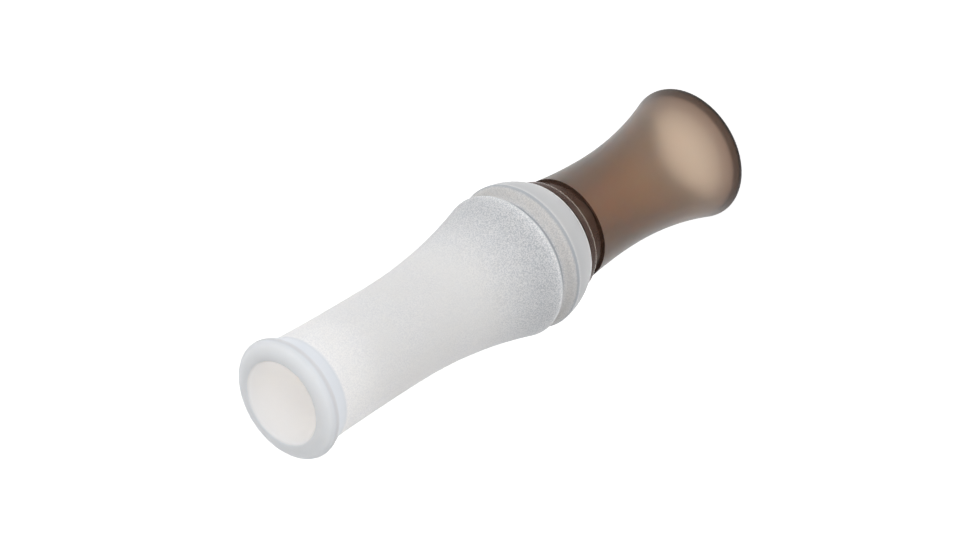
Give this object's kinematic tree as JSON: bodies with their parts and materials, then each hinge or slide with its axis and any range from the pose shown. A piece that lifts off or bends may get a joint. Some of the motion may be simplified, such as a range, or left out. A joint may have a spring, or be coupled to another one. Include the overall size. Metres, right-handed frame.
{
  "type": "duck call",
  "caption": "Double-reed duck call: pale frosted barrel on a smoke-brown flared insert, with a removable tone board, reeds, wedge and sealing rings.",
  "frame": {"origin": "centre of the bell's rim, on the surface that the call stands on", "axes": "+Z along the call's axis from the bell's rim to the mouth, +Y the way that the reed table faces"},
  "size_m": [0.0346, 0.0346, 0.14],
  "materials": {
    "barrel": "opal, lightly frosted, translucent",
    "insert": "smoke brown, frosted satin, polished groove and collar",
    "ring_rubber": "matte",
    "tone_board": "smoke brown, polished reed table",
    "reed": "clear film, faintly milky",
    "cork": "cork, matte"
  },
  "bodies": {
    "insert": {"insert": "insert"},
    "rings": {"rear_o_ring": "ring_rubber", "front_o_ring": "ring_rubber"},
    "barrel": {"barrel": "barrel"},
    "tone_board": {"tone_board": "tone_board"},
    "wedge": {"wedge": "cork", "lower_reed_tail": "reed", "upper_reed_tail": "reed"},
    "lower_reed": {"lower_reed_blade": "reed"},
    "upper_reed": {"upper_reed_blade": "reed"}
  },
  "joints": [
    {"name": "barrel_twist", "type": "hinge", "parent": "insert", "child": "rings", "pos_m": [0, 0, 0.0646], "axis": [0, 0, 1], "continuous": true},
    {"name": "barrel_pull", "type": "slide", "parent": "rings", "child": "barrel", "axis": [0, 0, 1], "range_m": [0, 0.08]},
    {"name": "tone_board_pull", "type": "slide", "parent": "insert", "child": "tone_board", "axis": [0, 0, 1], "range_m": [0, 0.028]},
    {"name": "wedge_pull", "type": "slide", "parent": "tone_board", "child": "wedge", "axis": [0, 0, 1], "range_m": [0, 0.012]},
    {"name": "lower_reed_flex", "type": "hinge", "parent": "wedge", "child": "lower_reed", "pos_m": [0, 0.00102, 0.09008], "axis": [-1, 0, 0], "range_deg": [0, 3.5], "stiffness_Nm_per_rad": 0.0058},
    {"name": "upper_reed_flex", "type": "hinge", "parent": "wedge", "child": "upper_reed", "pos_m": [0, 0.00102, 0.09008], "axis": [-1, 0, 0], "range_deg": [0, 3.5], "stiffness_Nm_per_rad": 0.0058}
  ],
  "couplings": [
    {"joint": "upper_reed_flex", "follows": "lower_reed_flex", "ratio": 1}
  ]
}
